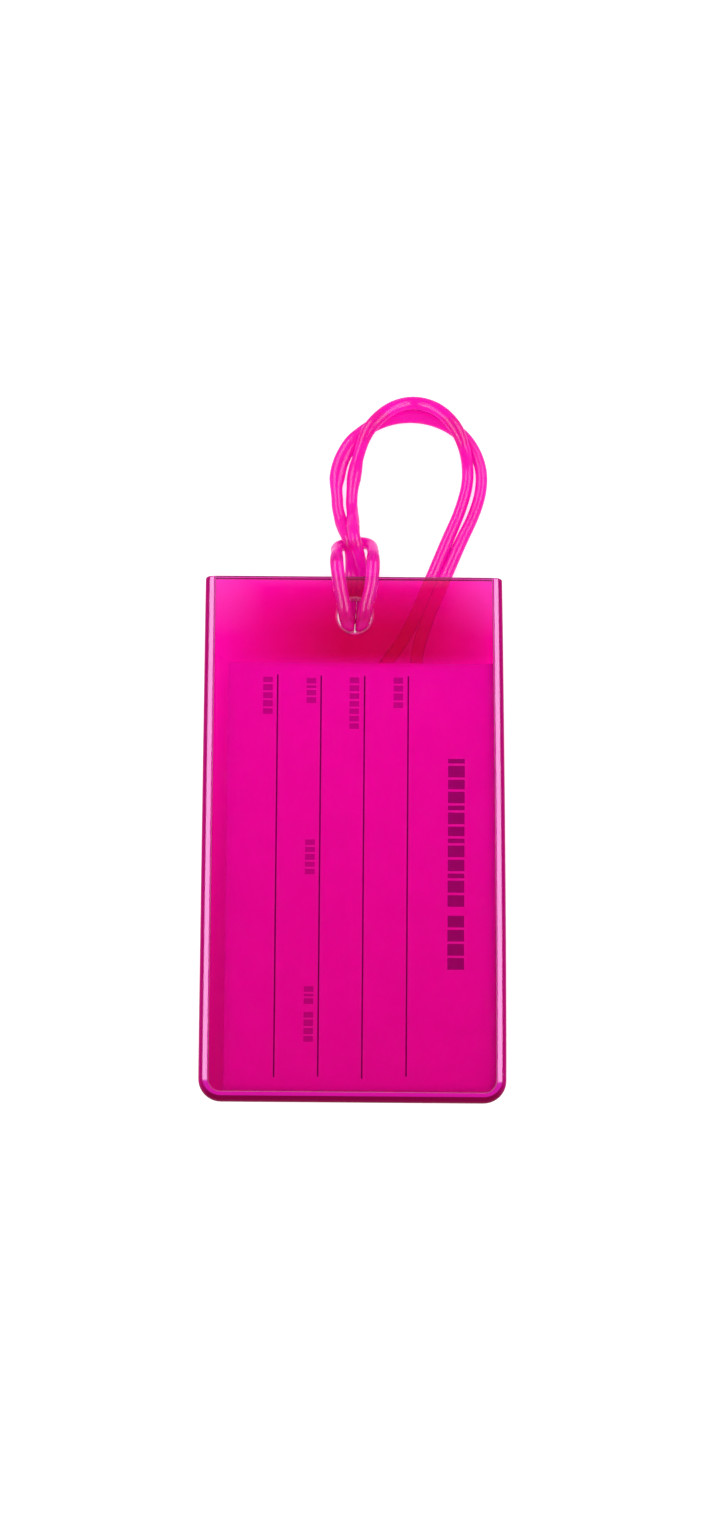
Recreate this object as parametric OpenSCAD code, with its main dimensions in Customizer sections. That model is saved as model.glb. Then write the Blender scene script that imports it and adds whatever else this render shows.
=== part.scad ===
// Luggage tag: a soft clear-coloured sleeve with an ID card inside and a closed
// cord strap hitched through the hole at its open end.
// Millimetres. The tag lies face up: +X to its right, +Y towards the strap, +Z up.

/* [Sleeve] */
// Width across the sleeve
sleeve_w = 60; // [59.8:0.1:66]
// Length from the bottom edge to the open top edge
sleeve_l = 105; // [102:0.5:110]
// Thickness over both walls, which is also the diameter of the half-round edges
sleeve_t = 3.4; // [3.2:0.1:4]
// Radius of the two bottom corners, seen from the front
corner_r = 4.5; // [3:0.1:8]
// Thickness of the front wall and of the back wall
wall = 1; // [0.6:0.1:1.1]
// Solid rim below the pocket
bottom_rim = 2; // [1.8:0.1:3]
// Radius of the strap hole through both walls
hole_r = 3.7; // [3.4:0.1:4.5]
// Distance from the open top edge to the centre of the strap hole
hole_drop = 7.9; // [7.7:0.1:8.2]

/* [Pocket and card] */
// Width of the pocket, open at the top end
pocket_w = 57.4; // [57.2:0.1:57.6]
// Width of the ID card
card_w = 53.8; // [50:0.1:56]
// Length of the ID card
card_l = 85.6; // [80:0.1:86]
// Thickness of the ID card
card_t = 0.4; // [0.2:0.05:0.6]
// Play between the card and the pocket's floor, right side and back wall
card_play = 0.15; // [0.1:0.05:0.25]

/* [Strap] */
// Diameter of the round strap cord
cord_d = 2.4; // [2:0.1:2.5]
// Number of flat sides on the cord
cord_sides = 8; // [6:1:10]

/* [Lie] */
// Angle at which the sleeve lies, its top end raised by the strap under it
lie_a = 2; // [2:0.1:3]

/* [Output] */
// Node to build, or all of them

/* [Hidden] */
$fn = 96;
edge_r = sleeve_t / 2;
cord_r = cord_d / 2;
pocket_t = sleeve_t - 2 * wall;
// Centre line of the bottom edge, about which the sleeve leans back
heel_y = edge_r - sleeve_l / 2;
// Centres of the bottom corners, and of the half-round side edges above them
corner_x = sleeve_w / 2 - corner_r;
corner_y = corner_r - sleeve_l / 2;
fold_r = corner_r - edge_r;
side_x = sleeve_w / 2 - edge_r;
pocket_floor_y = bottom_rim - sleeve_l / 2;
hole_y = sleeve_l / 2 - hole_drop;
card_x = pocket_w / 2 - card_play - card_w;
card_y = pocket_floor_y + card_play;
card_z = wall + card_play;

// Centre line of the strap's hitch, from the left strand of the loop, over the
// bridge, under the sleeve, up through the hole, over the top edge as the left
// leg, round the bridge, and back the same way as the right leg and strand.
hitch_route = [
    [-3.7, 69, 1.2], [-2.9, 65, 1.5], [-2.1, 62.6, 2.9], [-1.4, 60.4, 3.9],
    [-0.9, 57.8, 3.2], [-0.8, 55.2, 1.7], [-0.8, 52, 1.2], [-1.1, 46.9, 1.2],
    [-1.2, 44.2, 1.9], [-1.2, 42.9, 4], [-1.3, 43.1, 6.3], [-1.9, 45.2, 8.2],
    [-2.9, 49.8, 8.4], [-3.6, 54.2, 8.6], [-3.7, 56.3, 7.5], [-3.7, 57.6, 5.4],
    [-3.7, 58.9, 3.2], [-3, 59.8, 1.8], [-1.2, 60.3, 1.2], [1.2, 60.6, 1.2],
    [2.7, 60.2, 1.8], [3.4, 59.2, 3.3], [3.6, 57.6, 5.8], [3.6, 55.9, 7.9],
    [3.6, 53.7, 8.6], [3.2, 49.8, 8.4], [2.1, 45.4, 8.2], [1.5, 43.2, 6.4],
    [1.3, 42.9, 4.1], [1.4, 44.2, 2], [1.7, 47, 1.2], [1.8, 51.8, 1.3],
    [1.6, 54.2, 2.2], [1.1, 56.2, 4.2], [0.5, 58.2, 5.7], [-0.1, 60.3, 6.3],
    [-0.4, 62.4, 5.5], [-0.5, 64.6, 3.8], [-0.6, 66.6, 2.1], [-0.8, 69, 1.2]
];

// Centre line of the strap's loop, from the hitch up the left side, over the
// top, down the right side and under the sleeve to its far end, and back.
loop_route = [
    [-3.7, 69, 1.2], [-3.9, 73, 1.2], [-3, 77.6, 1.2], [-0.6, 81.8, 1.2],
    [3, 84.9, 1.2], [7.4, 86.7, 1.2], [12.2, 87.1, 1.2], [16.8, 86.1, 1.2],
    [20.8, 83.8, 1.2], [23.8, 80.4, 1.2], [25.4, 75.9, 1.2], [25.3, 71.2, 1.2],
    [23.8, 66.2, 1.2], [21.4, 61, 1.2], [19.1, 55.6, 1.2], [16.9, 50.2, 1.2],
    [14.7, 44.8, 1.2], [13, 39.4, 1.2], [12.3, 34, 1.2], [12, 28.6, 1.2],
    [10.5, 25.1, 1.2], [7.6, 23.8, 1.2], [4.6, 25.1, 1.2], [3.2, 28.6, 1.2],
    [4.4, 33, 1.2], [7.3, 37, 1.2], [10, 41, 1.2], [12.3, 45.6, 1.2],
    [14.5, 51, 1.2], [16.7, 56.4, 1.2], [18.9, 61.8, 1.2], [21.1, 67.2, 1.2],
    [22.5, 72.2, 1.2], [22.7, 76.2, 1.7], [21.9, 80, 3.3], [20, 84.4, 3.8],
    [16.4, 88, 3.4], [11.6, 89.5, 2.6], [6.8, 87.9, 3.5], [2.8, 84, 3.8],
    [0.8, 79.4, 2.6], [-0.3, 74.6, 1.2], [-0.8, 69, 1.2]
];

function unit(v) = v / norm(v);

// Direction of the centre line at each point; both ends lie along Y.
function headings(p) = [
    for (i = [0 : len(p) - 1])
        i == 0 || i == len(p) - 1
            ? [0, sign(p[min(i + 1, len(p) - 1)].y - p[max(i - 1, 0)].y), 0]
            : unit(unit(p[i + 1] - p[i]) + unit(p[i] - p[i - 1]))
];

// Side vector at each point, carried along the line without twist.
function carried(t, u, i = 0) =
    i == len(t) ? [] :
    let (v = unit(u - (u * t[i]) * t[i]))
    concat([v], carried(t, v, i + 1));

function cord_ring(c, t, u) =
    let (w = cross(t, u))
    [for (k = [0 : cord_sides - 1])
        let (a = 360 * (k + 0.5) / cord_sides)
        c + cord_r * (cos(a) * u + sin(a) * w)];

module cord(route) {
    t = headings(route);
    u = carried(t, [1, 0, 0]);
    n = cord_sides;
    last = (len(route) - 1) * n;
    points = [for (i = [0 : len(route) - 1]) each cord_ring(route[i], t[i], u[i])];
    sides = [
        for (i = [0 : len(route) - 2], k = [0 : n - 1])
            let (a = i * n + k, b = i * n + (k + 1) % n)
            each [[a, a + n, b], [b, a + n, b + n]]
    ];
    start_cap = [[for (k = [0 : n - 1]) k]];
    end_cap = [[for (k = [0 : n - 1]) last + n - 1 - k]];
    polyhedron(points = points, faces = concat(start_cap, sides, end_cap), convexity = 10);
}

// Puts a thing drawn in the sleeve's own flat frame where the sleeve lies.
module lying() {
    translate([0, heel_y, edge_r])
        rotate([lie_a, 0, 0])
            translate([0, -heel_y, -edge_r])
                children();
}

// Profile of a half-round edge, its flat side on the Y axis.
module half_round() {
    intersection() {
        circle(r = edge_r);
        translate([0, -edge_r])
            square([edge_r, sleeve_t]);
    }
}

// Half-round edge along the right side, from the bottom corner to the top.
module side_edge() {
    translate([side_x, sleeve_l / 2, edge_r])
        rotate([90, 0, 0])
            linear_extrude(height = sleeve_l - corner_r)
                half_round();
}

module bottom_edge() {
    translate([corner_x, heel_y, edge_r])
        rotate([90, 0, -90])
            linear_extrude(height = 2 * corner_x)
                half_round();
}

// Corner of the body: a flat sector with a half-round rim.
module corner_edge() {
    translate([corner_x, corner_y, edge_r])
        rotate([0, 0, -90])
            rotate_extrude(angle = 90) {
                translate([0, -edge_r])
                    square([fold_r, sleeve_t]);
                translate([fold_r, 0])
                    half_round();
            }
}

module sleeve_body() {
    linear_extrude(height = sleeve_t)
        polygon([
            [-corner_x, heel_y], [corner_x, heel_y], [corner_x, corner_y],
            [side_x, corner_y], [side_x, sleeve_l / 2], [-side_x, sleeve_l / 2],
            [-side_x, corner_y], [-corner_x, corner_y]
        ]);
    bottom_edge();
    for (m = [0, 1])
        mirror([m, 0, 0]) {
            side_edge();
            corner_edge();
        }
}

module sleeve() {
    color([0.93, 0.05, 0.55, 0.6])
        lying()
            difference() {
                sleeve_body();
                translate([-pocket_w / 2, pocket_floor_y, wall])
                    cube([pocket_w, sleeve_l, pocket_t]);
                translate([0, hole_y, -1])
                    cylinder(h = sleeve_t + 2, r = hole_r);
            }
}

module id_card() {
    color([0.96, 0.95, 0.93])
        lying()
            translate([card_x, card_y, card_z])
                cube([card_w, card_l, card_t]);
}

module strap_hitch() {
    color([0.98, 0.08, 0.62, 0.8])
        cord(hitch_route);
}

module strap_loop() {
    color([0.98, 0.12, 0.66, 0.8])
        cord(loop_route);
}

sleeve();
id_card();
strap_hitch();
strap_loop();
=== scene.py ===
import math

import bmesh
import bpy
import numpy as np
from mathutils import Matrix, Vector


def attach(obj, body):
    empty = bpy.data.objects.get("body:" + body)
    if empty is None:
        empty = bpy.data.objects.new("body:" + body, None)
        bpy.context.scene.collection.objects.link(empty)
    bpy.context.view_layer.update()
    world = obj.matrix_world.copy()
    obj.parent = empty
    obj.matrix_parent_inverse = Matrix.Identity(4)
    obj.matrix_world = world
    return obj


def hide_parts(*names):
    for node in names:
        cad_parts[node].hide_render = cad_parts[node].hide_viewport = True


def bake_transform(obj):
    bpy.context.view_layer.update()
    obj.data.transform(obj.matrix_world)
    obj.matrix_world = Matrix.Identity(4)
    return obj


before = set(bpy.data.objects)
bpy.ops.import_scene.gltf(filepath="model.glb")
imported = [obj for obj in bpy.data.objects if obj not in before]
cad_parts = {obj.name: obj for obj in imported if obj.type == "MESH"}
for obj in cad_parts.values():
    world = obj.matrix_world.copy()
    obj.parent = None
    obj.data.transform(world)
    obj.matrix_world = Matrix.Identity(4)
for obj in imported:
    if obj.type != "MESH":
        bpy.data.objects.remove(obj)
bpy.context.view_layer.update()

MM = 0.001

# ---------------------------------------------------------------- sizes
# Millimetres in the sleeve's own flat frame: its middle at 0, its back on z = 0, its mouth towards +Y.
SLEEVE_W = 60.0
SLEEVE_L = 105.0
SLEEVE_T = 3.4
CORNER_R = 4.5
MOUTH_CORNER_R = 0.5
# The welded edge in section: a blunt quarter ellipse, then a shoulder up to the flat face.
BLUNT_W = 0.9
BLUNT_H = 1.39
BLUNT_TURN = math.radians(81)
SHOULDER = [(1.0, 1.45), (1.15, 1.512), (1.3, 1.57), (1.44, 1.62),
            (1.58, 1.657), (1.7, 1.68), (1.82, 1.694), (1.96, 1.7)]
# How much wider each side is at the bottom than in the CAD, and how much of it is lost by the mouth.
SPREAD_LEFT = 0.2
SPREAD_RIGHT = 0.7
LOSS_LEFT = 0.2
LOSS_RIGHT = 1.1
TAPER_FROM_Y = -45.0
TAPER_CURVE = 1.5

POCKET_W = 57.4
POCKET_FLOOR_Y = -50.5
POCKET_Z = (1.0, 2.4)
POCKET_CORNER_R = 0.5
HOLE_Y = 44.6
# A little less than in the CAD, because the soft cord fills the hole.
HOLE_R = 3.45

CARD_X = (-25.25, 28.55)
CARD_Y = (-50.35, 35.25)
CARD_Z = (1.15, 1.55)
CARD_BOW = 0.12

# The sleeve leans back about the centre line of its bottom edge.
LIE = math.radians(2.0)
HEEL = Vector((0, SLEEVE_T / 2 - SLEEVE_L / 2, SLEEVE_T / 2))
LYING = Matrix.Translation(HEEL) @ Matrix.Rotation(LIE, 4, "X") @ Matrix.Translation(-HEEL)

# Metres in the row frame.
CORD_D = 0.0024
HOLE_AT_Y = 0.04454


# ---------------------------------------------------------------- small helpers
def smooth_step(x, a, b):
    t = min(1.0, max(0.0, (x - a) / (b - a)))
    return t * t * (3 - 2 * t)


def strip(bm, a, b, closed=False):
    """Faces between two rows of vertices."""
    count = len(a) if closed else len(a) - 1
    made = []
    for i in range(count):
        j = (i + 1) % len(a)
        made.append(bm.faces.new((a[i], a[j], b[j], b[i])))
    return made


def new_piece(name, bm, smooth=True):
    bmesh.ops.recalc_face_normals(bm, faces=bm.faces)
    mesh = bpy.data.meshes.new(name)
    bm.to_mesh(mesh)
    bm.free()
    for face in mesh.polygons:
        face.use_smooth = smooth
    piece = bpy.data.objects.new(name, mesh)
    bpy.context.scene.collection.objects.link(piece)
    return piece


def baked(piece):
    """The piece's modifiers, applied to its mesh."""
    bpy.context.view_layer.update()
    graph = bpy.context.evaluated_depsgraph_get()
    mesh = bpy.data.meshes.new_from_object(piece.evaluated_get(graph))
    piece.modifiers.clear()
    piece.data = mesh
    return piece


def soften_edges(piece, width, segments):
    bevel = piece.modifiers.new("soft_edges", "BEVEL")
    bevel.width = width
    bevel.segments = segments
    bevel.limit_method = "ANGLE"
    bevel.angle_limit = math.radians(40)
    bevel.harden_normals = False
    baked(piece)


def even_shading(piece, sharp=40.0):
    """Corner normals that keep large flat faces flat and turn smoothly round their edges."""
    mesh = piece.data
    limit = math.cos(math.radians(sharp))
    ways = [Vector(f.normal) for f in mesh.polygons]
    sizes = [f.area for f in mesh.polygons]
    large = 0.02 * max(sizes)
    at = [[] for _ in mesh.vertices]
    for f in mesh.polygons:
        for v in f.vertices:
            at[v].append(f.index)
    normals = [None] * len(mesh.loops)
    for f in mesh.polygons:
        for k in f.loop_indices:
            near = [g for g in at[mesh.loops[k].vertex_index] if ways[g].dot(ways[f.index]) > limit]
            flat = [g for g in near if sizes[g] > large]
            total = Vector((0, 0, 0))
            for g in flat or near:
                total += ways[g] * sizes[g]
            normals[k] = total.normalized() if sizes[f.index] <= large else ways[f.index]
    mesh.normals_split_custom_set(normals)


def lay_down(piece):
    """From millimetres in the sleeve's own frame to metres in the row frame."""
    piece.data.transform(Matrix.Scale(MM, 4) @ LYING)


# ---------------------------------------------------------------- camera
def make_camera():
    """Looks down on the tag, a little tilted from straight above."""
    tilt = math.radians(9.0)
    roll = math.radians(0.45)
    distance = 0.68
    target = Vector((0.0, 0.01415, 0.003))
    back = Vector((0.0, -math.sin(tilt), math.cos(tilt)))
    up = Vector((0.0, math.cos(tilt), math.sin(tilt)))
    data = bpy.data.cameras.new("camera")
    data.sensor_width = 36.0
    data.lens = 79.7
    data.clip_start = 0.01
    data.clip_end = 20.0
    camera = bpy.data.objects.new("camera", data)
    bpy.context.scene.collection.objects.link(camera)
    turned = Matrix((Vector((1, 0, 0)), up, back)).transposed().to_4x4()
    place = Matrix.Translation(target + back * distance)
    camera.matrix_world = place @ turned @ Matrix.Rotation(roll, 4, "Z")
    bpy.context.scene.camera = camera


make_camera()


# ---------------------------------------------------------------- strap
# One closed ring of cord in two pieces. Their routes repeat the CAD's, in millimetres in the row frame.
HITCH_ROUTE = [
    (-3.7, 69, 1.2), (-2.9, 65, 1.5), (-2.1, 62.6, 2.9), (-1.4, 60.4, 3.9),
    (-0.9, 57.8, 3.2), (-0.8, 55.2, 1.7), (-0.8, 52, 1.2), (-1.1, 46.9, 1.2),
    (-1.2, 44.2, 1.9), (-1.2, 42.9, 4), (-1.3, 43.1, 6.3), (-1.9, 45.2, 8.2),
    (-2.9, 49.8, 8.4), (-3.6, 54.2, 8.6), (-3.7, 56.3, 7.5), (-3.7, 57.6, 5.4),
    (-3.7, 58.9, 3.2), (-3, 59.8, 1.8), (-1.2, 60.3, 1.2), (1.2, 60.6, 1.2),
    (2.7, 60.2, 1.8), (3.4, 59.2, 3.3), (3.6, 57.6, 5.8), (3.6, 55.9, 7.9),
    (3.6, 53.7, 8.6), (3.2, 49.8, 8.4), (2.1, 45.4, 8.2), (1.5, 43.2, 6.4),
    (1.3, 42.9, 4.1), (1.4, 44.2, 2), (1.7, 47, 1.2), (1.8, 51.8, 1.3),
    (1.6, 54.2, 2.2), (1.1, 56.2, 4.2), (0.5, 58.2, 5.7), (-0.1, 60.3, 6.3),
    (-0.4, 62.4, 5.5), (-0.5, 64.6, 3.8), (-0.6, 66.6, 2.1), (-0.8, 69, 1.2)]
LOOP_ROUTE = [
    (-3.7, 69, 1.2), (-3.9, 73, 1.2), (-3, 77.6, 1.2), (-0.6, 81.8, 1.2),
    (3, 84.9, 1.2), (7.4, 86.7, 1.2), (12.2, 87.1, 1.2), (16.8, 86.1, 1.2),
    (20.8, 83.8, 1.2), (23.8, 80.4, 1.2), (25.4, 75.9, 1.2), (25.3, 71.2, 1.2),
    (23.8, 66.2, 1.2), (21.4, 61, 1.2), (19.1, 55.6, 1.2), (16.9, 50.2, 1.2),
    (14.7, 44.8, 1.2), (13, 39.4, 1.2), (12.3, 34, 1.2), (12, 28.6, 1.2),
    (10.5, 25.1, 1.2), (7.6, 23.8, 1.2), (4.6, 25.1, 1.2), (3.2, 28.6, 1.2),
    (4.4, 33, 1.2), (7.3, 37, 1.2), (10, 41, 1.2), (12.3, 45.6, 1.2),
    (14.5, 51, 1.2), (16.7, 56.4, 1.2), (18.9, 61.8, 1.2), (21.1, 67.2, 1.2),
    (22.5, 72.2, 1.2), (22.7, 76.2, 1.7), (21.9, 80, 3.3), (20, 84.4, 3.8),
    (16.4, 88, 3.4), (11.6, 89.5, 2.6), (6.8, 87.9, 3.5), (2.8, 84, 3.8),
    (0.8, 79.4, 2.6), (-0.3, 74.6, 1.2), (-0.8, 69, 1.2)]
# Where the two pieces meet: the middle between the strands, at the level of the hinge.
MEET = (-2.25 * MM, 69 * MM, 2.45 * MM)


def smooth_line(route, start_way, end_way, steps=6):
    """A smooth line through the route's points, in metres, that starts and ends along Y."""
    points = np.array(route, float) * MM
    slopes = np.zeros_like(points)
    slopes[1:-1] = (points[2:] - points[:-2]) / 2
    slopes[0] = np.array((0, start_way, 0)) * np.linalg.norm(points[1] - points[0])
    slopes[-1] = np.array((0, end_way, 0)) * np.linalg.norm(points[-1] - points[-2])
    line = [points[0]]
    for k in range(len(points) - 1):
        for i in range(1, steps + 1):
            t = i / steps
            line.append((2 * t**3 - 3 * t**2 + 1) * points[k] + (t**3 - 2 * t**2 + t) * slopes[k]
                        + (3 * t**2 - 2 * t**3) * points[k + 1] + (t**3 - t**2) * slopes[k + 1])
    line = np.array(line)
    line[:, 2] = np.maximum(line[:, 2], CORD_D / 2)
    return line


def ring_frames(line):
    """Two directions across the line at each of its points, turned evenly so that both ends start from X."""
    ways = np.gradient(line, axis=0)
    ways /= np.linalg.norm(ways, axis=1)[:, None]
    for end in (0, -1):
        ways[end] = np.array((0, np.sign(ways[end][1]), 0))
    side = [np.array((1.0, 0, 0))]
    for way in ways[1:]:
        moved = side[-1] - way * (side[-1] @ way)
        side.append(moved / np.linalg.norm(moved))
    side = np.array(side)
    last = np.cross(ways[-1], side[-1])
    spare = math.atan2(-last[0], side[-1][0])
    along = np.concatenate([[0], np.cumsum(np.linalg.norm(np.diff(line, axis=0), axis=1))])
    turn = spare * along / along[-1]
    other = np.cross(ways, side)
    across = side * np.cos(turn)[:, None] + other * np.sin(turn)[:, None]
    return ways, across, np.cross(ways, across)


def cord_ring(bm, centre, way, across, over, shape, sides):
    """A ring of vertices round the line, squashed as shape() says where the cord runs level."""
    wide, thick = shape(centre)
    level = np.cross(way, (0, 0, 1))
    flat = np.linalg.norm(level)
    level = level / max(flat, 1e-9)
    lying = smooth_step(flat, 0.3, 0.9)
    wide = 1 + (wide - 1) * lying
    thick = 1 + (thick - 1) * lying
    ring = []
    for i in range(sides):
        a = 2 * math.pi * i / sides
        reach = (across * math.cos(a) + over * math.sin(a)) * CORD_D / 2
        reach = reach + level * (reach @ level) * (wide - 1)
        reach[2] *= thick
        place = centre + reach
        place[2] -= (1 - thick) * CORD_D / 2
        ring.append(bm.verts.new(place))
    return ring


def make_cord(name, line, shape, sides=24):
    """A tube along the line. shape(point) says how many times its radius it is wide and thick there."""
    frames = zip(line, *ring_frames(line))
    bm = bmesh.new()
    rings = [cord_ring(bm, *at, shape, sides) for at in frames]
    for a, b in zip(rings, rings[1:]):
        strip(bm, a, b, closed=True)
    bm.faces.new(rings[0])
    bm.faces.new(rings[-1])
    piece = new_piece(name, bm)
    rims = set()
    for face in piece.data.polygons:
        is_cap = len(face.vertices) > 4
        face.use_smooth = not is_cap
        face.material_index = 1 if is_cap else 0
        if is_cap:
            rims.update(face.edge_keys)
    for edge in piece.data.edges:
        edge.use_edge_sharp = edge.key in rims
    return piece


def hitch_shape(point):
    """The legs on top, the strands under the sleeve and those above the bridge are a little wider."""
    x, y, z = point / MM
    leg = smooth_step(z, 5.5, 8) * smooth_step(y, 44.5, 46)
    inner = (1 - smooth_step(z, 2.2, 3)) * (1 - smooth_step(y, 52, 56))
    inner *= 1 + 0.6 * smooth_step(y, 44.5, 46.5) * (1 - smooth_step(y, 47.5, 50.5))
    upper = smooth_step(y, 61, 63) * (1 - smooth_step(y, 64.5, 67))
    return 1 + 0.14 * leg + 0.1 * inner + 0.12 * upper, 1 - 0.04 * leg


def loop_shape(point):
    """The outer strand on the left is the widest, then the top and the part under the sleeve."""
    x, y, z = point / MM
    away = smooth_step(math.hypot(x - MEET[0] / MM, y - MEET[1] / MM), 2.0, 6.0)
    outer_left = smooth_step(-x, -1.5, 1.5) * (1 - smooth_step(z, 1.4, 2.2)) * smooth_step(y, 70, 74)
    top = smooth_step(y, 80, 84)
    behind = (1 - smooth_step(y, 60, 66)) * smooth_step(x, 5, 9)
    wide = 1 + away * (0.34 * outer_left + 0.17 * top + 0.07 * behind)
    return wide, 1 - away * 0.1 * max(outer_left, top)


def fill_hole(cord):
    """Squeezes the hitch in the sleeve's two walls, so that the soft cord fills the hole."""
    pivot_y = HOLE_Y * MM
    leg_x = 1.48 * MM
    leg_y = 42.7 * MM
    lowest_y = 41.42 * MM
    reach_inside = 3.36 * MM
    reach_outside = 3.86 * MM
    for v in cord.data.vertices:
        x, y, z = v.co
        # Between the walls the cord stays narrow, clear of the card.
        level = max(smooth_step(z, 4.8 * MM, 5.4 * MM), 1 - smooth_step(z, 3.7 * MM, 4.3 * MM))
        squeezed = level * (1 - smooth_step(y, 43.5 * MM, 46.5 * MM))
        x *= 1 + 0.14 * squeezed
        y = pivot_y + (y - pivot_y) * (1 + 0.12 * squeezed)
        # The inner lower side of each leg bulges into the corner between the legs.
        off_x = abs(x) - leg_x
        off_y = y - leg_y
        if off_x < 0 and off_y < 0:
            corner = 1 + 0.26 * squeezed * (2 * off_x * off_y / (off_x**2 + off_y**2)) ** 2
            x = math.copysign(leg_x + off_x * corner, x)
            y = max(leg_y + off_y * corner, min(y, lowest_y))
        # Nothing goes past the hole's wall.
        inside = smooth_step(z, 2.4 * MM, 3.1 * MM) * (1 - smooth_step(z, 6.8 * MM, 7.5 * MM))
        most = reach_outside + (reach_inside - reach_outside) * inside
        away = math.hypot(x, y - HOLE_AT_Y)
        if squeezed > 0 and away > most:
            x *= most / away
            y = HOLE_AT_Y + (y - HOLE_AT_Y) * most / away
        v.co = (x, y, z)


hitch_line = smooth_line(HITCH_ROUTE, -1, 1)
loop_line = smooth_line(LOOP_ROUTE, 1, -1)
strap_hitch = make_cord("strap_hitch_cord", hitch_line, hitch_shape)
fill_hole(strap_hitch)
strap_loop = make_cord("strap_loop_cord", loop_line, loop_shape)


# ---------------------------------------------------------------- sleeve
def quarter(centre_x, centre_y, r, start, steps):
    """Points on a quarter turn, both its ends included."""
    angles = [start + i / steps * math.pi / 2 for i in range(steps + 1)]
    return [(centre_x + r * math.cos(a), centre_y + r * math.sin(a)) for a in angles]


def outline(inset):
    """The sleeve's edge in plan, from its mouth down the left side, round the bottom and up the right."""
    corner_steps = 10
    mouth_steps = 5
    side_points = 24
    floor_points = 18
    half = SLEEVE_W / 2
    end = SLEEVE_L / 2
    side = half - inset
    r = CORNER_R
    c = MOUTH_CORNER_R
    left = [(-side, y) for y in np.linspace(end - c, r - end, side_points)]
    floor = [(x, inset - end) for x in np.linspace(r - half, half - r, floor_points)]
    right = [(side, y) for y in np.linspace(r - end, end - c, side_points)]
    points = quarter(c - side, end - c, c, math.pi / 2, mouth_steps)[:-1]
    points += left
    points += quarter(r - half, r - end, r - inset, math.pi, corner_steps)[1:]
    points += floor[1:]
    points += quarter(half - r, r - end, r - inset, -math.pi / 2, corner_steps)[1:]
    points += right[1:]
    points += quarter(side - c, end - c, c, 0.0, mouth_steps)[1:]
    return points


def sleeve_outer():
    """A solid of the sleeve's outer shape, before its pocket and hole are cut."""
    bm = bmesh.new()
    middle = SLEEVE_T / 2
    blunt = [(BLUNT_W * (1 - math.cos(a)), BLUNT_H * math.sin(a)) for a in np.linspace(0, BLUNT_TURN, 9)]
    upper = blunt + SHOULDER
    lower = [(inset, -up) for inset, up in reversed(upper[1:])]
    rows = []
    for inset, up in lower + upper:
        rows.append([bm.verts.new((x, y, middle + up)) for x, y in outline(inset)])
    for a, b in zip(rows, rows[1:]):
        strip(bm, a, b)
    bm.faces.new(rows[0])
    bm.faces.new(rows[-1])
    bm.faces.new([row[0] for row in rows] + [row[-1] for row in reversed(rows)])
    return new_piece("sleeve_clear", bm)


def pocket_cutter():
    """The space for the card, with rounded long corners. It widens to make up for the sleeve's taper."""
    bm = bmesh.new()
    widened = 1.014
    past_mouth_y = 60.0
    r = POCKET_CORNER_R
    side = POCKET_W / 2 - r
    low = POCKET_Z[0] + r
    high = POCKET_Z[1] - r
    section = []
    for k, (x, z) in enumerate(((side, high), (-side, high), (-side, low), (side, low))):
        section += quarter(x, z, r, k * math.pi / 2, 4)
    near = [bm.verts.new((x, POCKET_FLOOR_Y, z)) for x, z in section]
    far = [bm.verts.new((x * widened, past_mouth_y, z)) for x, z in section]
    strip(bm, near, far, closed=True)
    bm.faces.new(near)
    bm.faces.new(far)
    return new_piece("cut_pocket", bm)


def hole_cutter():
    bm = bmesh.new()
    bmesh.ops.create_cone(bm, cap_ends=True, segments=72, radius1=HOLE_R, radius2=HOLE_R, depth=20,
                          matrix=Matrix.Translation((0, HOLE_Y, 0)))
    return new_piece("cut_hole", bm)


def taper(piece):
    """The soft sleeve narrows towards its mouth, more on its right."""
    for v in piece.data.vertices:
        up = (v.co.y - TAPER_FROM_Y) / (SLEEVE_L / 2 - TAPER_FROM_Y)
        up = min(1.0, max(0.0, up)) ** TAPER_CURVE
        spread, loss = (SPREAD_RIGHT, LOSS_RIGHT) if v.co.x > 0 else (SPREAD_LEFT, LOSS_LEFT)
        v.co.x *= 1 + (spread - loss * up) / (SLEEVE_W / 2)


def make_sleeve():
    sleeve = sleeve_outer()
    cutters = [pocket_cutter(), hole_cutter()]
    for tool in cutters:
        cut = sleeve.modifiers.new("cut", "BOOLEAN")
        cut.operation = "DIFFERENCE"
        cut.solver = "EXACT"
        cut.object = tool
    baked(sleeve)
    for tool in cutters:
        bpy.data.objects.remove(tool)
    soften_edges(sleeve, 0.22, 3)
    taper(sleeve)
    lay_down(sleeve)
    even_shading(sleeve)
    return sleeve


# ---------------------------------------------------------------- card and its print
def card_bow(x, y):
    """How far the card bows up from lying flat."""
    across = (x - CARD_X[0]) / (CARD_X[1] - CARD_X[0])
    along = (y - CARD_Y[0]) / (CARD_Y[1] - CARD_Y[0])
    return CARD_BOW * math.sin(math.pi * across) * math.sin(math.pi * along) ** 2


def make_card():
    bm = bmesh.new()
    xs = np.linspace(*CARD_X, 28)
    ys = np.linspace(*CARD_Y, 44)
    low, top = [[[bm.verts.new((x, y, z + card_bow(x, y))) for x in xs] for y in ys] for z in CARD_Z]
    for grid in (top, low):
        for a, b in zip(grid, grid[1:]):
            strip(bm, a, b)
    strip(bm, top[0], low[0])
    strip(bm, top[-1], low[-1])
    strip(bm, [r[0] for r in top], [r[0] for r in low])
    strip(bm, [r[-1] for r in top], [r[-1] for r in low])
    card = new_piece("card_paper_blank", bm)
    soften_edges(card, 0.05, 2)
    lay_down(card)
    return card


# The print's three inks, by their place in its list of materials.
LINE_INK, SMALL_INK, TITLE_INK = range(3)
LINE_W = 0.28
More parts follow.
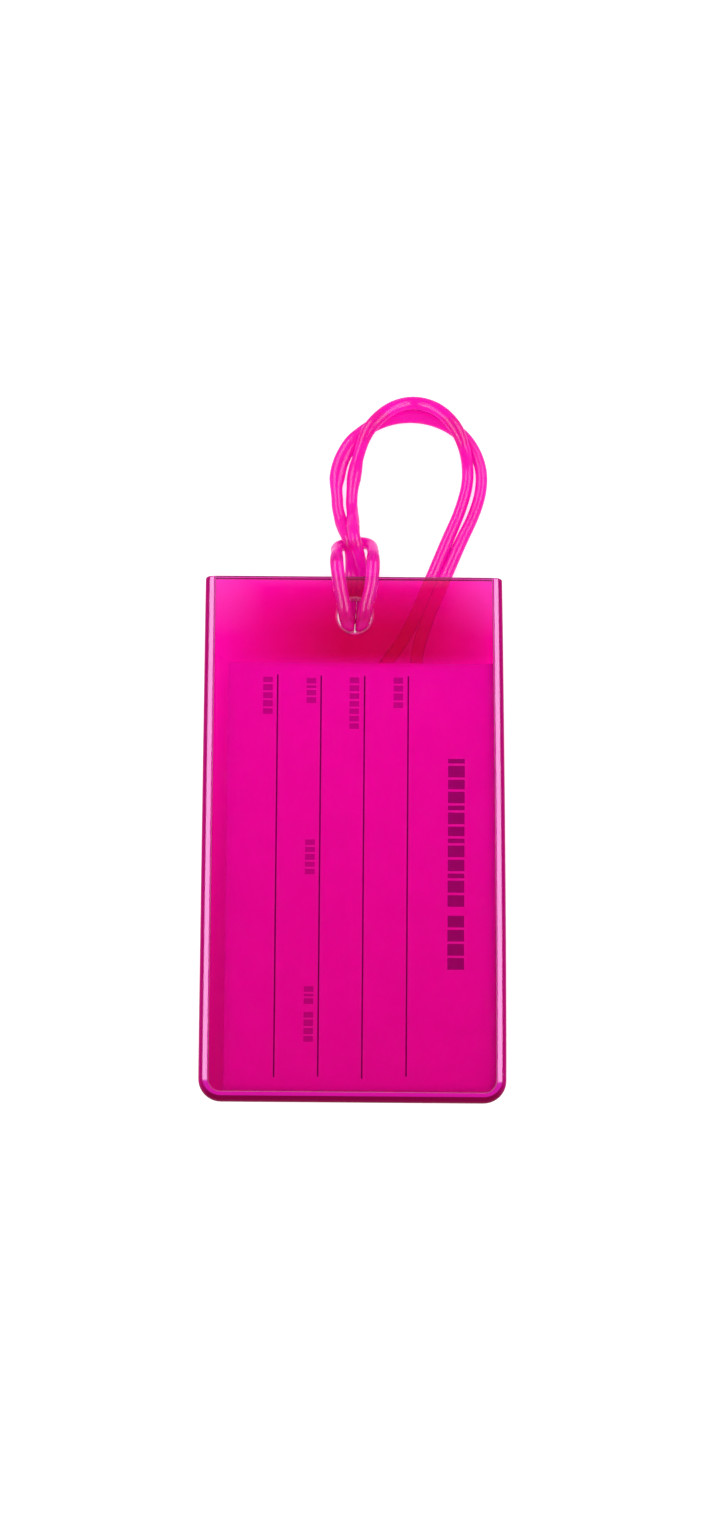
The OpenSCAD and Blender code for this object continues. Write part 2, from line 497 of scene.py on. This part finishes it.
# Each ruled line: its x, its top end and its bottom end.
RULED = [(-15.3, 32.8, -47.6), (-6.6, 32.6, -47.4), (2.1, 32.6, -47.8), (10.85, 32.6, -47.3)]
# Each word: its left side, its top and the length of each of its blocks. A length of 0 is a space.
SMALL_H = 1.9
SMALL_WORDS = [
    (-18.2, 32.3, (1.1, 1.25, 1.2, 1.25, 1.1)),
    (-9.5, 32.1, (1.1, 0.5, 1.1, 1.15)),
    (-9.5, -0.4, (1.1, 1.0, 1.15, 1.0, 1.1)),
    (-9.5, -29.6, (1.1, 0.5, 1.1, 0, 1.1, 1.25, 1.2, 1.1)),
    (-0.9, 32.3, (1.2, 1.2, 1.2, 1.1, 1.1, 1.1, 1.1)),
    (7.9, 32.3, (1.2, 1.2, 1.4, 1.1))]
TITLE_H = 3.3
TITLE = (18.9, 16.0, (0.9, 2.3, 1.9, 2.3, 0.9, 2.3, 1.9, 0.9, 2.3, 2.3, 0.9, 2.4, 2.3, 0, 2.3, 2.3, 2.3, 2.3))


def make_print():
    """Ruled lines, and rows of plain blocks where a real card has words."""
    bm = bmesh.new()
    clear_of_card = 0.004
    ink_top = 0.02
    space = 0.8

    def block(x0, x1, y0, y1, ink, parts=1):
        """A thin raised patch that follows the card."""
        rows = []
        for i in range(parts + 1):
            y = y0 + (y1 - y0) * i / parts
            section = ((x0, clear_of_card), (x0, ink_top), (x1, ink_top), (x1, clear_of_card))
            rows.append([bm.verts.new((x, y, CARD_Z[1] + card_bow(x, y) + z)) for x, z in section])
        made = [bm.faces.new(rows[0]), bm.faces.new(rows[-1])]
        for a, b in zip(rows, rows[1:]):
            made += strip(bm, a, b, closed=True)
        for face in made:
            face.material_index = ink

    def word(x, top, lengths, height, gap, ink):
        """Plain blocks of letter size that read downwards."""
        y = top
        for length in lengths:
            if length:
                block(x, x + height, y - length, y, ink)
            y -= (length or space) + gap

    for x, top, bottom in RULED:
        block(x - LINE_W / 2, x + LINE_W / 2, bottom, top, LINE_INK, 40)
    for x, top, lengths in SMALL_WORDS:
        word(x, top, lengths, SMALL_H, 0.4, SMALL_INK)
    word(*TITLE, TITLE_H, 0.5, TITLE_INK)
    piece = new_piece("card_print", bm, smooth=False)
    lay_down(piece)
    return piece


# ---------------------------------------------------------------- node trees
class Nodes:
    """A short way to write a node tree. Lengths in it are metres."""

    def __init__(self, tree):
        self.tree = tree
        tree.nodes.clear()

    def add(self, kind, inputs=None, **settings):
        node = self.tree.nodes.new(kind)
        for key, value in settings.items():
            setattr(node, key, value)
        for key, value in (inputs or {}).items():
            self.put(value, node.inputs[key])
        return node

    def put(self, value, socket):
        if isinstance(value, bpy.types.NodeSocket):
            self.tree.links.new(value, socket)
        else:
            socket.default_value = value

    def math(self, operation, a, b=0.0, c=0.0):
        return self.add("ShaderNodeMath", {0: a, 1: b, 2: c}, operation=operation).outputs[0]

    def plus(self, a, b):
        return self.math("ADD", a, b)

    def minus(self, a, b):
        return self.math("SUBTRACT", a, b)

    def times(self, a, b):
        return self.math("MULTIPLY", a, b)

    def larger(self, a, b):
        return self.math("MAXIMUM", a, b)

    def hypotenuse(self, a, b):
        return self.math("SQRT", self.plus(self.times(a, a), self.times(b, b)))

    def mixed(self, share, a, b):
        mix = self.add("ShaderNodeMix", {0: share, 6: a, 7: b}, data_type="RGBA", blend_type="MIX")
        return mix.outputs[2]

    def ramp(self, factor, stops):
        node = self.add("ShaderNodeValToRGB", {0: factor})
        ramp = node.color_ramp
        while len(ramp.elements) < len(stops):
            ramp.elements.new(0.5)
        for element, (at, colour) in zip(ramp.elements, stops):
            element.position = at
            element.color = (*colour, 1)
        return node.outputs[0]

    def remap(self, value, low, high, to_low=0.0, to_high=1.0):
        inputs = {0: value, 1: low, 2: high, 3: to_low, 4: to_high}
        return self.add("ShaderNodeMapRange", inputs).outputs[0]

    def place(self):
        return self.add("ShaderNodeTexCoord").outputs["Object"]

    def split(self, vector):
        return self.add("ShaderNodeSeparateXYZ", {0: vector}).outputs

    def stretched(self, vector, scale):
        return self.add("ShaderNodeMapping", {"Vector": vector, "Scale": scale}).outputs[0]

    def noise(self, place, scale, detail=3.0, rough=0.5):
        inputs = {"Vector": place, "Scale": scale, "Detail": detail, "Roughness": rough}
        return self.add("ShaderNodeTexNoise", inputs).outputs[0]

    def bump(self, height, strength, distance):
        inputs = {"Height": height, "Strength": strength, "Distance": distance}
        return self.add("ShaderNodeBump", inputs).outputs[0]

    def finish(self, **shaders):
        self.add("ShaderNodeOutputMaterial", shaders)


def material(name):
    made = bpy.data.materials.new(name)
    made.use_nodes = True
    return made, Nodes(made.node_tree)


# ---------------------------------------------------------------- the sleeve's clear plastic
# Millimetres in from the sleeve's edge. The dark rim is painted shade, partly the thicker welded edge; the
# seam shade is a painted shade line along the weld's inner side.
DARK_RIM_W = 0.9
DARK_RIM_EXTRA_AT_BOTTOM = 0.3
SEAM_SHADE_FROM = 1.72
SEAM_W = 1.94
SOFT = 0.1


def absorbing(nodes, per_metre):
    """A volume that takes away that much red, green and blue light per metre."""
    most = max(per_metre)
    colour = (*[1 - c / most for c in per_metre], 1)
    return nodes.add("ShaderNodeVolumeAbsorption", {"Color": colour, "Density": most}).outputs[0]


def from_edge(nodes, x, y):
    """How far in a point is from the sleeve's side or bottom edge, round its corners too."""
    up = nodes.math("POWER", nodes.remap(y, TAPER_FROM_Y * MM, SLEEVE_L / 2 * MM), TAPER_CURVE)
    right = nodes.math("GREATER_THAN", x, 0.0)
    loss = nodes.math("MULTIPLY_ADD", right, (LOSS_RIGHT - LOSS_LEFT) * MM, LOSS_LEFT * MM)
    spread = nodes.math("MULTIPLY_ADD", right, (SPREAD_RIGHT - SPREAD_LEFT) * MM, SPREAD_LEFT * MM)
    narrower = nodes.minus(nodes.times(up, loss), spread)
    across = nodes.plus(nodes.math("ABSOLUTE", x), nodes.minus(narrower, (SLEEVE_W / 2 - CORNER_R) * MM))
    down = nodes.minus(nodes.times(y, -1.0), (SLEEVE_L / 2 - CORNER_R) * MM)
    out = nodes.hypotenuse(nodes.larger(across, 0.0), nodes.larger(down, 0.0))
    inner = nodes.math("MINIMUM", nodes.larger(across, down), 0.0)
    return nodes.minus(CORNER_R * MM, nodes.plus(out, inner))


def sleeve_zones(nodes, x, y):
    """Masks that are 1 in each zone of the sleeve and 0 elsewhere, and the distance in from its edge."""
    inset = from_edge(nodes, x, y)
    low = nodes.remap(y, -0.0485, -0.0512)
    limit = nodes.math("MULTIPLY_ADD", low, DARK_RIM_EXTRA_AT_BOTTOM * MM, DARK_RIM_W * MM)
    outside = nodes.remap(nodes.minus(inset, limit), -SOFT / 2 * MM, SOFT / 2 * MM, 1.0, 0.0)
    mouth = nodes.remap(y, 0.05225, 0.0523)
    return {
        "inset": inset,
        "low": low,
        "seam": nodes.remap(inset, SEAM_W * MM, (SEAM_W + SOFT) * MM, 1.0, 0.0),
        "seam_shade": nodes.remap(inset, SEAM_SHADE_FROM * MM, (SEAM_SHADE_FROM + SOFT) * MM),
        "mouth": mouth,
        # The dark rim along the outside and the mouth is painted shade, partly the thicker welded edge.
        "dark": nodes.larger(outside, mouth),
        "dull": nodes.larger(outside, nodes.remap(y, 0.0521, 0.0522)),
        # Painted shade: a deeper pink ring round the hole.
        "painted_hole_shade": nodes.remap(nodes.hypotenuse(x, nodes.minus(y, HOLE_AT_Y)), 0.0037, 0.0039, 1.0, 0.0),
        # Painted light: paler pink towards the mouth and in its corners, where light comes in.
        "painted_mouth_light": nodes.larger(
            nodes.times(nodes.remap(y, 0.040, 0.0525, 0.0, 0.75), nodes.remap(inset, 0.001, 0.012, 1.0, 0.0)),
            nodes.remap(y, 0.050, 0.0525, 0.0, 0.35))}


def sleeve_colour(nodes, x, y, zones):
    """Painted light and shade over the plastic's pink: lighter towards the mouth and paler in its corners,
    deeper in the middle above the card, beside the card and round the hole, and a dark rim of painted shade,
    partly the thicker welded edge, along the outside of the weld and the mouth.
    """
    # Painted light and shade: the plastic is painted lighter towards the mouth and darker towards the bottom.
    painted_light_gradient = nodes.ramp(nodes.remap(y, -0.050, 0.050), [
        (0.0, (0.91, 0.80, 0.66)), (0.85, (1.0, 0.92, 0.81)), (1.0, (1.0, 1.0, 0.82))])
    # Painted shade: deeper pink in the middle above the card, fading towards the mouth.
    from_middle = nodes.math("ABSOLUTE", nodes.minus(x, 0.004))
    middle = nodes.times(nodes.remap(from_middle, 0.006, 0.029, 1.0, 0.0), nodes.remap(y, 0.034, 0.037))
    middle = nodes.times(middle, nodes.remap(y, 0.053, 0.042, 0.2, 1.0))
    # Painted shade in the strip beside the card's left edge, stronger towards the bottom.
    beside_card_shade = nodes.times(nodes.remap(x, -0.0250, -0.0253), nodes.remap(y, 0.036, -0.050, 0.0, 0.7))
    tint = nodes.mixed(nodes.times(middle, 0.95), painted_light_gradient, (0.82, 0.3, 0.37, 1))
    # Painted light: paler pink near the mouth.
    tint = nodes.mixed(zones["painted_mouth_light"], tint, (1.0, 0.7, 0.92, 1))
    # Painted shade: deeper pink round the hole.
    tint = nodes.mixed(nodes.times(zones["painted_hole_shade"], 0.6), tint, (1.0, 0.25, 0.75, 1))
    tint = nodes.mixed(beside_card_shade, tint, (0.78, 0.6, 0.50, 1))
    # The welded edge's own deep pink, with a painted shade line along its inner side.
    weld_and_shade_line = nodes.mixed(zones["low"], (0.62, 0.008, 0.38, 1), (0.64, 0.004, 0.33, 1))
    weld_and_shade_line = nodes.mixed(zones["seam_shade"], weld_and_shade_line, (0.60, 0.002, 0.30, 1))
    # Painted shade, partly the thicker welded edge: a dark rim outside the weld, darker at the bottom, and a
    # dark line along the mouth.
    rim_shade = nodes.mixed(zones["low"], (0.38, 0.001, 0.13, 1), (0.18, 0.001, 0.04, 1))
    rim_shade = nodes.mixed(zones["mouth"], rim_shade, (0.36, 0.001, 0.14, 1))
    return nodes.mixed(zones["dark"], nodes.mixed(zones["seam"], tint, weld_and_shade_line), rim_shade)


def sleeve_surface(nodes, zones):
    """Roughness with faint haze and scratches, and slow waves in the faces but not in the welded edge."""
    place = nodes.place()
    slow = nodes.noise(place, 55.0, 2.0)
    haze = nodes.noise(place, 420.0, 5.0, 0.6)
    fine = nodes.noise(place, 2600.0, 3.0, 0.6)
    streaks = nodes.noise(nodes.stretched(place, (1500.0, 130.0, 900.0)), 1.0, 2.0, 0.4)
    scratch = nodes.ramp(streaks, [(0.62, (0, 0, 0)), (0.7, (1, 1, 1))])
    rough = nodes.plus(nodes.remap(haze, 0.35, 0.7, 0.045, 0.10), nodes.times(scratch, 0.05))
    faces = nodes.minus(1.0, zones["seam"])
    rough = nodes.math("MULTIPLY_ADD", rough, faces, nodes.times(zones["seam"], 0.08))
    height = nodes.plus(slow, nodes.times(haze, 0.04))
    height = nodes.plus(height, nodes.times(fine, 0.008))
    moving = nodes.remap(zones["inset"], 0.002, 0.006)
    return rough, nodes.bump(nodes.times(height, moving), 0.3, 0.0004)


def sleeve_material():
    made, nodes = material("clear_pink_pvc")
    x, y, _ = nodes.split(nodes.place())
    zones = sleeve_zones(nodes, x, y)
    rough, bump = sleeve_surface(nodes, zones)
    # Less clear where light is painted near the mouth and shade round the hole, so that the painted colour
    # shows.
    painted_light_and_shade_share = nodes.plus(nodes.times(zones["painted_mouth_light"], 0.07), nodes.times(zones["painted_hole_shade"], 0.2))
    opaque = nodes.larger(nodes.times(zones["seam"], 0.9), zones["dark"])
    skin = nodes.add("ShaderNodeBsdfPrincipled", {
        "Base Color": sleeve_colour(nodes, x, y, zones),
        "Transmission Weight": nodes.minus(nodes.minus(1.0, painted_light_and_shade_share), opaque),
        "IOR": 1.45,
        "Roughness": rough,
        "Normal": bump,
        "Specular IOR Level": nodes.math("MULTIPLY_ADD", zones["dull"], -0.48, 0.5)})
    nodes.finish(Surface=skin.outputs[0], Volume=absorbing(nodes, (40.0, 3600.0, 250.0)))
    return made


# ---------------------------------------------------------------- the other materials
def strap_material():
    made, nodes = material("pink_cord_plastic")
    place = nodes.place()
    x, y, _ = nodes.split(place)
    slow = nodes.noise(place, 160.0, 2.0)
    fine = nodes.noise(place, 1900.0, 4.0, 0.6)
    tint = nodes.ramp(slow, [(0.3, (0.94, 0.005, 0.53)), (0.7, (0.86, 0.003, 0.45))])
    # The part under the sleeve is painted lighter and made clearer, painted light that offsets the shade it
    # lies in. The part in the hole is painted deeper, a painted shade.
    under = nodes.times(nodes.remap(y, 0.056, 0.050), nodes.remap(x, 0.004, 0.006))
    tint = nodes.mixed(nodes.times(under, 0.95), tint, (1.0, 0.025, 0.62, 1))
    # Painted shade: the cord in the hole is drawn deeper pink.
    cord_hole_shade = nodes.times(nodes.remap(y, 0.0500, 0.0435, 0.0, 0.85), nodes.remap(x, 0.004, 0.005, 1.0, 0.0))
    tint = nodes.mixed(cord_hole_shade, tint, (0.78, 0.002, 0.26, 1))
    skin = nodes.add("ShaderNodeBsdfPrincipled", {
        "Base Color": tint,
        "Transmission Weight": nodes.math("MULTIPLY_ADD", under, 0.36, 0.6),
        "IOR": 1.27,
        "Specular IOR Level": 0.15,
        "Roughness": nodes.remap(fine, 0.3, 0.7, 0.16, 0.22),
        "Normal": nodes.bump(nodes.plus(slow, nodes.times(fine, 0.006)), 0.2, 0.0003)})
    nodes.finish(Surface=skin.outputs[0])
    return made


def open_end_material():
    """For the cut ends where the strap's two pieces meet: the cord runs on through them."""
    made, nodes = material("pink_cord_inside")
    nodes.finish(Surface=nodes.add("ShaderNodeBsdfTransparent").outputs[0])
    return made


def card_material():
    made, nodes = material("card_white_paper")
    place = nodes.place()
    fibre = nodes.noise(nodes.stretched(place, (2600.0, 700.0, 2600.0)), 1.0, 4.0, 0.65)
    blotch = nodes.noise(place, 120.0, 3.0)
    both = nodes.plus(nodes.times(fibre, 0.6), nodes.times(blotch, 0.4))
    skin = nodes.add("ShaderNodeBsdfPrincipled", {
        "Base Color": nodes.ramp(both, [(0.3, (0.90, 0.89, 0.88)), (0.7, (0.98, 0.975, 0.97))]),
        "Roughness": 0.75,
        "Normal": nodes.bump(fibre, 0.3, 0.00004),
        "Specular IOR Level": 0.2})
    nodes.finish(Surface=skin.outputs[0])
    return made


def ink_material(name, dark, light):
    made, nodes = material(name)
    speckle = nodes.noise(nodes.place(), 5200.0, 3.0, 0.7)
    skin = nodes.add("ShaderNodeBsdfPrincipled", {
        "Base Color": nodes.ramp(speckle, [(0.3, (dark,) * 3), (0.75, (light,) * 3)]),
        "Roughness": nodes.remap(speckle, 0.3, 0.7, 0.5, 0.8),
        "Specular IOR Level": 0.2})
    nodes.finish(Surface=skin.outputs[0])
    return made


# ---------------------------------------------------------------- put it together
sleeve = make_sleeve()
card = make_card()
marks = make_print()

inks = (ink_material("card_ink_lines", 0.05, 0.15),
        ink_material("card_ink_small", 0.50, 0.60),
        ink_material("card_ink_title", 0.28, 0.38))
sleeve.data.materials.clear()
card.data.materials.clear()
cord_looks = (strap_material(), open_end_material())
looks = ((sleeve, (sleeve_material(),)), (card, (card_material(),)), (marks, inks),
         (strap_hitch, cord_looks), (strap_loop, cord_looks))
for piece, materials in looks:
    for made in materials:
        piece.data.materials.append(made)

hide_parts("strap_hitch")
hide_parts("strap_loop")
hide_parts("sleeve")
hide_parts("id_card")
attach(strap_loop, "loop")
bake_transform(strap_hitch)
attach(sleeve, "sleeve")
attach(card, "card")
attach(marks, "card")


# ---------------------------------------------------------------- floor and light
def make_floor():
    bm = bmesh.new()
    just_below = Matrix.Translation((0, 0, -0.2 * MM))
    bmesh.ops.create_grid(bm, x_segments=8, y_segments=8, size=1.5, matrix=just_below)
    floor = new_piece("floor", bm, smooth=False)
    made, nodes = material("floor_white")
    grain = nodes.noise(nodes.place(), 900.0, 3.0)
    skin = nodes.add("ShaderNodeBsdfPrincipled", {
        "Base Color": nodes.ramp(grain, [(0.3, (0.72,) * 3), (0.7, (0.74,) * 3)]),
        "Roughness": 0.9,
        "Specular IOR Level": 0.0,
        "Emission Color": (1, 1, 1, 1),
        "Emission Strength": 0.6})
    nodes.finish(Surface=skin.outputs[0])
    floor.data.materials.append(made)


def make_softbox(name, x):
    """A long soft light at one side, turned towards the tag and seen only in gloss."""
    data = bpy.data.lights.new(name, "AREA")
    data.shape = "RECTANGLE"
    data.size = 0.30
    data.size_y = 0.54
    data.energy = 5.2
    light = bpy.data.objects.new(name, data)
    bpy.context.scene.collection.objects.link(light)
    place = Vector((x, 0.20, 0.42))
    out = Vector((place.x, 0, place.z)).normalized()
    along = Vector((0, 1, 0))
    turned = Matrix((along.cross(out), along, out)).transposed().to_4x4()
    light.matrix_world = Matrix.Translation(place) @ turned
    light.visible_transmission = False
    light.visible_camera = False
    light.visible_diffuse = False


def make_world():
    """Even white light all round. Gloss sees it darker overhead, as under a studio's ceiling."""
    world = bpy.data.worlds.new("studio")
    world.use_nodes = True
    nodes = Nodes(world.node_tree)
    way = nodes.add("ShaderNodeTexCoord").outputs["Generated"]
    gloss = nodes.ramp(nodes.split(way)[2], [
        (0.0, (0.8,) * 3), (0.3, (0.6,) * 3), (0.7, (0.1,) * 3), (0.87, (0.02,) * 3)])
    ray = nodes.add("ShaderNodeLightPath").outputs
    mirrored = nodes.minus(ray["Is Glossy Ray"], ray["Is Transmission Ray"])
    colour = nodes.mixed(mirrored, (1, 1, 1, 1), gloss)
    back = nodes.add("ShaderNodeBackground", {"Color": colour, "Strength": 1.18})
    nodes.add("ShaderNodeOutputWorld", {"Surface": back.outputs[0]})
    bpy.context.scene.world = world


make_floor()
make_world()
make_softbox("softbox_left", -0.30)
make_softbox("softbox_right", 0.30)
bpy.context.scene.view_settings.view_transform = "Standard"
bpy.context.scene.view_settings.look = "None"
